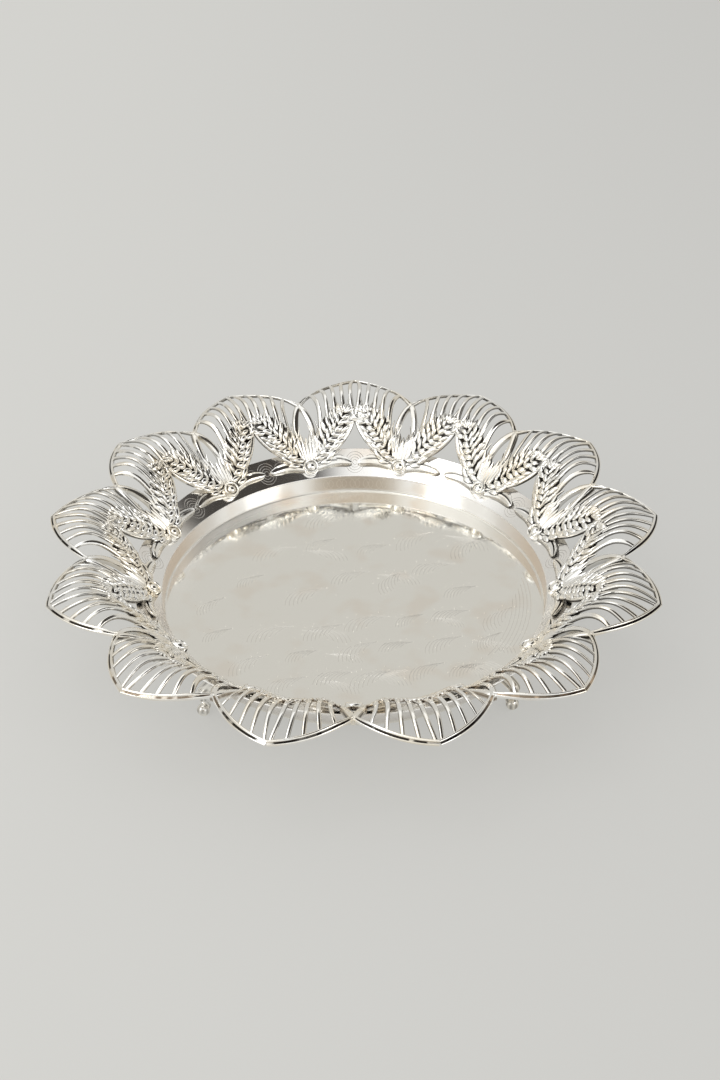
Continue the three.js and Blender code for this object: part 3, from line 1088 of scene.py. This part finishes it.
def makeRivets(size, material):
    gap = castingSize["seatGap"]
    head = gap + bossSize["thickness"] + gap
    tail = -dishSize["sheet"] - gap
    end = tail - size["tailHeight"]
    steps = size["domeSteps"]
    dome = []
    for i in range(steps):
        turn = math.pi / 2 * i / steps
        rise = bossSize["headHeight"] * math.sin(turn)
        dome.append((bossSize["headRadius"] * math.cos(turn), head + rise))
    profile = [
        (0, end),
        (size["tailRadius"] * size["tailFlat"], end),
        (size["tailRadius"], (tail + end) / 2),
        (size["tailRadius"], tail),
        (size["shank"], tail),
        (size["shank"], head),
        *dome,
        (0, head + bossSize["headHeight"]),
    ]
    for petal in range(1, petalCount + 1):
        bm = bmesh.new()
        turnOnFlange(bm, profile, size["steps"])
        bm.transform(petalTurn(petal))
        finishPiece(f"rivet_silver_{petal}", bm, material, "rivets", f"petal_rivet_{petal}")


# Feet
footSize = {
    "count": 4,
    "turn": 46.5,
    "drop": 12.5,
    "reach": 8,
    "toeRadius": 3.6,
    "soleRadius": 2.4,
    "legWidth": 8.4,
    "ankleWidth": 5,
    "legThickness": 4.2,
    "ankleThickness": 3,
    "legSeat": 5,
    "kneeReach": 9,
    "kneeDrop": 10,
    "ankleReach": 5.6,
    "ankleRise": 6,
    "flutes": 7,
    "legFluteDepth": 0.07,  # shares of the radius
    "toeFluteDepth": 0.025,
    # painted shade in the flutes' grooves
    "legRecess": 0.3,
    "toeRecess": 0.25,
    "wallGap": 0.35,
    "underDish": -2,  # below this height a leg may reach in under the dish
    "tuckIn": 1,
    "spineSteps": 8,
    "steps": 28,
}
table = -dishSize["sheet"] - footSize["drop"]  # height of the soles


# Middle line of a leg, from the wall over the knee and the ankle to the toe: out, up
def footSpine(size, toeCentre):
    radius, depth = dishSize["radius"], dishSize["depth"]
    knots = [
        Vector((radius - size["legThickness"] / 2, depth - size["legSeat"])),
        Vector((radius + size["kneeReach"], depth - size["kneeDrop"])),
        Vector((radius + size["ankleReach"], table + size["ankleRise"])),
        Vector((radius + size["reach"], toeCentre)),
    ]
    ends = [knots[0] * 2 - knots[1], *knots, knots[-1] * 2 - knots[-2]]
    spine = []
    for a, b, c, d in zip(ends, ends[1:], ends[2:], ends[3:]):
        for i in range(size["spineSteps"]):
            t = i / size["spineSteps"]
            bend = (2 * a - 5 * b + 4 * c - d) * t**2 + (3 * b - a - 3 * c + d) * t**3
            spine.append((2 * b + (c - a) * t + bend) / 2)
    return [*spine, knots[-1]]


# 1 on the flutes' crests, and -1 in their grooves
def fluting(vert, size):
    return math.cos(math.atan2(vert.co.y, vert.co.x) * size["flutes"])


def addLeg(bm, size, spine):
    layer = bm.verts.layers.float["recess"]
    ring = bmesh.ops.create_circle(bm, segments=size["steps"], radius=1)["verts"]
    for vert in ring:
        flute = fluting(vert, size)
        vert.co *= 1 + size["legFluteDepth"] * flute
        vert[layer] = size["legRecess"] * (1 - flute)
    edges = list({edge for vert in ring for edge in vert.link_edges})
    stations = []
    for i, (point, along) in enumerate(zip(spine, directions(spine))):
        share = i / (len(spine) - 1)
        wide = lerp(size["legWidth"], size["ankleWidth"], share) / 2
        deep = lerp(size["legThickness"], size["ankleThickness"], share) / 2
        turned = Matrix(((wide, 0, 0), (0, deep * along.y, along.x), (0, -deep * along.x, along.y)))
        stations.append(Matrix.Translation((0, point.x, point.y)) @ turned.to_4x4())
    growTube(bm, ring, edges, stations)


def addToe(bm, size, toeCentre):
    layer = bm.verts.layers.float["recess"]
    steps = size["steps"]
    toe = bmesh.ops.create_uvsphere(bm, u_segments=steps, v_segments=steps // 2, radius=size["toeRadius"])
    for vert in toe["verts"]:
        sunk = (1 - fluting(vert, size)) * math.hypot(vert.co.x, vert.co.y) / size["toeRadius"]
        vert.co *= 1 - size["toeFluteDepth"] * sunk
        vert[layer] = size["toeRecess"] * sunk
    bmesh.ops.translate(bm, vec=(0, dishSize["radius"] + size["reach"], toeCentre), verts=toe["verts"])


def cutSole(bm):
    cut = bmesh.ops.bisect_plane(
        bm, geom=allOf(bm), plane_co=(0, 0, table), plane_no=(0, 0, -1), clear_outer=True
    )
    bmesh.ops.contextual_create(bm, geom=edgesOf(cut["geom_cut"]))


def keepOffDish(bm, size):
    for vert in bm.verts:
        out = math.hypot(vert.co.x, vert.co.y)
        beside = vert.co.z > size["underDish"]
        least = dishSize["radius"] + (dishSize["sheet"] + size["wallGap"] if beside else -size["tuckIn"])
        if out < least:
            vert.co.x *= least / out
            vert.co.y *= least / out


def makeFeet(size, material):
    toeCentre = table + math.sqrt(size["toeRadius"] ** 2 - size["soleRadius"] ** 2)
    spine = footSpine(size, toeCentre)
    for foot in range(size["count"]):
        bm = bmesh.new()
        bm.verts.layers.float.new("recess")
        addLeg(bm, size, spine)
        addToe(bm, size, toeCentre)
        cutSole(bm)
        keepOffDish(bm, size)
        turn = size["turn"] - 90 + foot * 360 / size["count"]
        bm.transform(Matrix.Rotation(math.radians(turn), 4, "Z"))
        finishPiece(f"foot_silver_{foot + 1}", bm, material, "feet", f"foot_{foot + 1}")


# Studio: a pale sweep with painted shade that darkens it to the right, soft lamps and a bright room
studio = {
    "floorSize": 12,  # metres from its middle to its edge
    # painted shade: the sweep's colour darkens from left to right
    "sweepFade": (-0.55, 0.5),
    "sweepLeft": (0.70, 0.695, 0.664),
    "sweepRight": (0.612, 0.608, 0.584),
    "paleShare": 0.62,  # how much of its shadow the sweep loses
    "backdrop": (0.62, 0.61, 0.58),
    "white": (1, 1, 0.985),
    "dusk": (0.42, 0.385, 0.34),
    "dark": (0.05, 0.045, 0.04),
    "panelFade": 6,  # degrees to both sides of a panel's edge
    "daylight": (0.8, 0.8, 0.8),
    "lampDistance": 1.5,
}
# Soft panels, which the camera and the silver see and which light nothing: azimuth, elevation, half
# width in degrees, and colour
panels = [
    (0, 90, 42, "white"),
    (180, 68, 42, "white"),
    (-124, 33, 30, "white"),
    (124, 30, 29, "white"),
    (180, 16, 13, "dusk"),
    (86, 60, 27, "dark"),
]
# Area lamps that face the tray: azimuth, elevation, width, height and watts
lamps = {
    "left": (-124, 33, 0.55, 0.5, 1.8),
    "right": (122, 33, 0.55, 0.5, 1.4),
    "overhead": (-105, 68, 0.55, 0.55, 1.6),
}


# A direction from its azimuth, from +Y towards +X, and its elevation, in degrees
def heading(azimuth, elevation):
    a, e = math.radians(azimuth), math.radians(elevation)
    return Vector((math.cos(e) * math.sin(a), math.cos(e) * math.cos(a), math.sin(e)))


def makeTable(look):
    bm = bmesh.new()
    bmesh.ops.create_grid(bm, x_segments=1, y_segments=1, size=look["floorSize"])
    bmesh.ops.translate(bm, vec=(0, 0, table * mm), verts=bm.verts)
    mesh = bpy.data.meshes.new("table")
    bm.to_mesh(mesh)
    bm.free()
    sweep = bpy.data.objects.new("table", mesh)
    bpy.context.scene.collection.objects.link(sweep)
    finish = Finish(bpy.data.materials.new("table"))
    (x,) = finish.axes(finish.place(), 1)
    # Painted shade: the sweep darkens towards the right
    colour = finish.mix(x.between(*look["sweepFade"]), look["sweepLeft"], look["sweepRight"])
    lit = finish.node("ShaderNodeBsdfDiffuse", inputs={"Color": colour})
    pale = finish.node("ShaderNodeEmission", inputs={"Color": colour, "Strength": 1.0})
    shader = finish.node("ShaderNodeMixShader", inputs=[look["paleShare"] * finish.seen(), lit, pale])
    finish.node("ShaderNodeOutputMaterial", inputs={"Surface": shader})
    mesh.materials.append(finish.owner)


def makeLamps(look):
    for name, (azimuth, elevation, width, height, power) in lamps.items():
        data = bpy.data.lights.new(name, "AREA")
        data.shape = "RECTANGLE"
        data.size, data.size_y = width, height
        data.energy = power
        lamp = bpy.data.objects.new(name, data)
        bpy.context.scene.collection.objects.link(lamp)
        away = heading(azimuth, elevation)
        lamp.location = away * look["lampDistance"]
        lamp.rotation_mode = "QUATERNION"
        lamp.rotation_quaternion = away.to_track_quat("Z", "Y")
        lamp.visible_camera = False


def makeWorld(look):
    world = bpy.data.worlds.new("studio")
    bpy.context.scene.world = world
    finish = Finish(world)
    direction = finish.node("ShaderNodeTexCoord", output="Generated")
    colour = look["backdrop"]
    for azimuth, elevation, spread, shade in panels:
        sides = [direction, heading(azimuth, elevation)]
        towards = finish.node("ShaderNodeVectorMath", {"operation": "DOT_PRODUCT"}, sides, "Value")
        fade = (math.cos(math.radians(spread + side * look["panelFade"])) for side in (1, -1))
        colour = finish.mix(towards.between(*fade), colour, look[shade])
    shown = finish.mix(finish.seen(), look["daylight"], colour)
    background = finish.node("ShaderNodeBackground", inputs={"Color": shown, "Strength": 1.0})
    finish.node("ShaderNodeOutputWorld", inputs={"Surface": background})


makeCamera(cameraFit)
sheet = sheetSilverFinish("sheet_silver", sheetSilver)
cast = castSilverFinish("cast_silver", castSilver)
makeDish(dishSize, sheet)
print("dish made")
makePetals(cast)
print("petals made")
makeRivets(rivetSize, cast)
makeFeet(footSize, cast)
print("rivets and feet made")
makeTable(studio)
makeWorld(studio)
makeLamps(studio)
bpy.context.scene.view_settings.view_transform = "Standard"
print("studio made")
